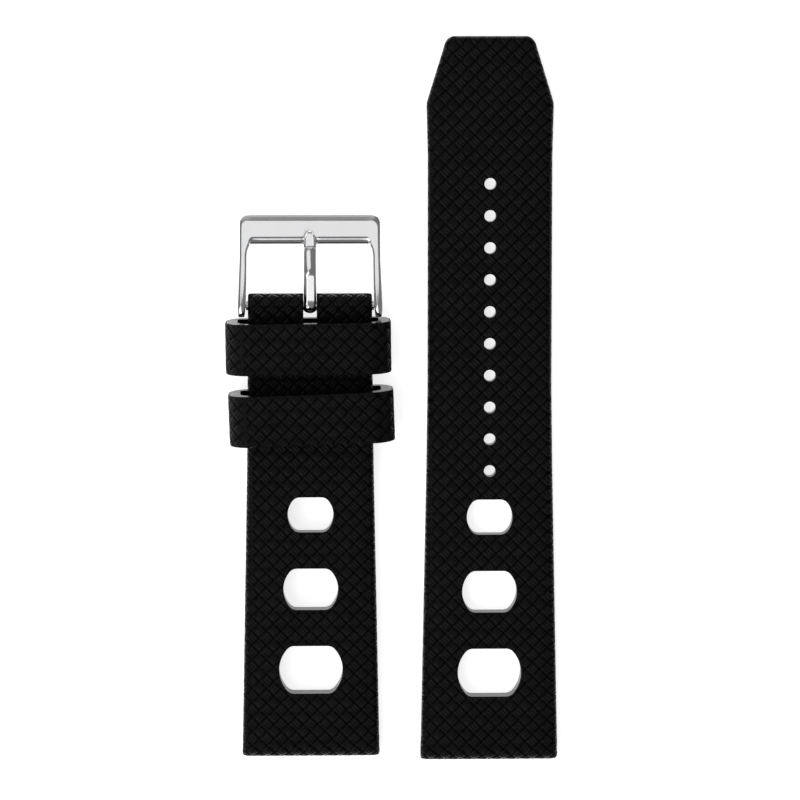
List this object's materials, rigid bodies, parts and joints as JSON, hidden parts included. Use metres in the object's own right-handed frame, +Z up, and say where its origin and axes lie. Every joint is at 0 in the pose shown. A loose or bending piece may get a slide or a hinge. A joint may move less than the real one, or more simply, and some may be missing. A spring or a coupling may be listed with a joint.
{
  "type": "silicone watch strap",
  "caption": "Vented silicone watch strap in its buckle and tail halves, with a moulded weave, a steel tang buckle and loose keepers.",
  "frame": {"origin": "middle of the spring-bar bore at the watch end of the buckle half", "axes": "+X across the strap towards the tail half, +Y along the buckle half towards its buckle, +Z up out of the front face"},
  "size_m": [0.0529, 0.1155, 0.0096],
  "materials": {
    "silicone": "satin",
    "polished_steel": "polished",
    "bar_steel": "satin"
  },
  "bodies": {
    "short_half": {"short_strap": "silicone", "bar_tube": "bar_steel", "bar_spring": "bar_steel"},
    "long_half": {"long_strap": "silicone"},
    "keeper_fixed": {"keeper_fixed": "silicone"},
    "keeper_free": {"keeper_free": "silicone"},
    "buckle_frame": {"buckle_frame": "polished_steel"},
    "buckle_tongue": {"buckle_tongue": "polished_steel"},
    "bar_pin_left": {"bar_pin_left": "bar_steel"},
    "bar_pin_right": {"bar_pin_right": "bar_steel"}
  },
  "joints": [
    {"name": "buckle_hinge", "type": "hinge", "parent": "short_half", "child": "buckle_frame", "pos_m": [0, 0.0706, 0.00188], "axis": [1, 0, 0], "range_deg": [-85, 12]},
    {"name": "tongue_hinge", "type": "hinge", "parent": "buckle_frame", "child": "buckle_tongue", "pos_m": [0, 0.0706, 0.00188], "axis": [1, 0, 0], "range_deg": [0, 80]},
    {"name": "keeper_fixed_slide", "type": "slide", "parent": "short_half", "child": "keeper_fixed", "axis": [0, 0.9993, 0.0375], "range_m": [-0.0026, 0]},
    {"name": "keeper_free_slide", "type": "slide", "parent": "short_half", "child": "keeper_free", "axis": [0, 0.9993, 0.0375], "range_m": [-0.031, 0]},
    {"name": "bar_pin_left_slide", "type": "slide", "parent": "short_half", "child": "bar_pin_left", "axis": [1, 0, 0], "range_m": [0, 0.001], "stiffness_N_per_m": 200, "springref_m": -0.001, "deforming": ["bar_spring"]},
    {"name": "bar_pin_right_slide", "type": "slide", "parent": "short_half", "child": "bar_pin_right", "axis": [-1, 0, 0], "range_m": [0, 0.001], "stiffness_N_per_m": 200, "springref_m": -0.001, "deforming": ["bar_spring"]},
    {"name": "tail_half_shift", "type": "slide", "parent": "short_half", "child": "long_half", "axis": [0, 1, 0], "range_m": [-0.03, 0.03]}
  ]
}
